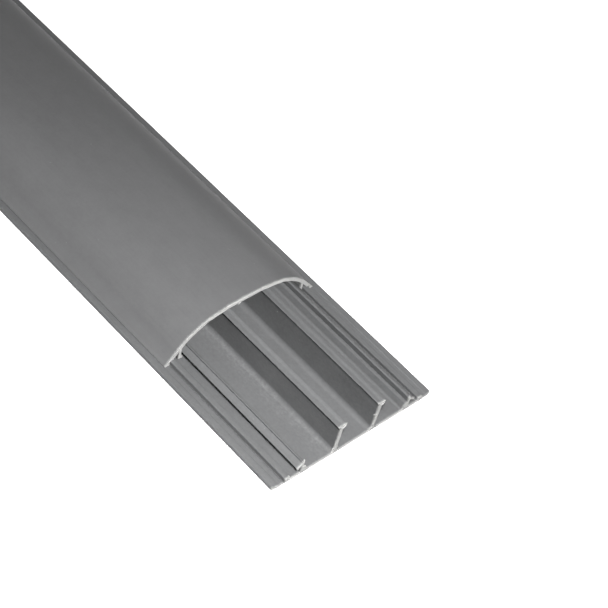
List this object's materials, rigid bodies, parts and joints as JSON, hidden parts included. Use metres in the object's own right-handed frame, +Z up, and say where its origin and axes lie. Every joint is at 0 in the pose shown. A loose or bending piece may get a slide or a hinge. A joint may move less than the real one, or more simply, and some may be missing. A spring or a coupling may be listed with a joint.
{
  "type": "floor cord cover",
  "caption": "Length of low arched floor trunking in grey rigid plastic: a flat ribbed base with cable compartments and a clip-on lid that stops short of the near end.",
  "frame": {"origin": "middle of the underside of the base, halfway along the length and halfway across", "axes": "+Y along the length towards the end where lid and base are flush, +X across, +Z up out of the floor"},
  "size_m": [0.075, 2, 0.0182],
  "materials": {
    "base_plastic": "satin",
    "lid_plastic": "satin"
  },
  "bodies": {
    "root": {"base_channel": "base_plastic", "clip_lid": "lid_plastic"}
  },
  "joints": []
}
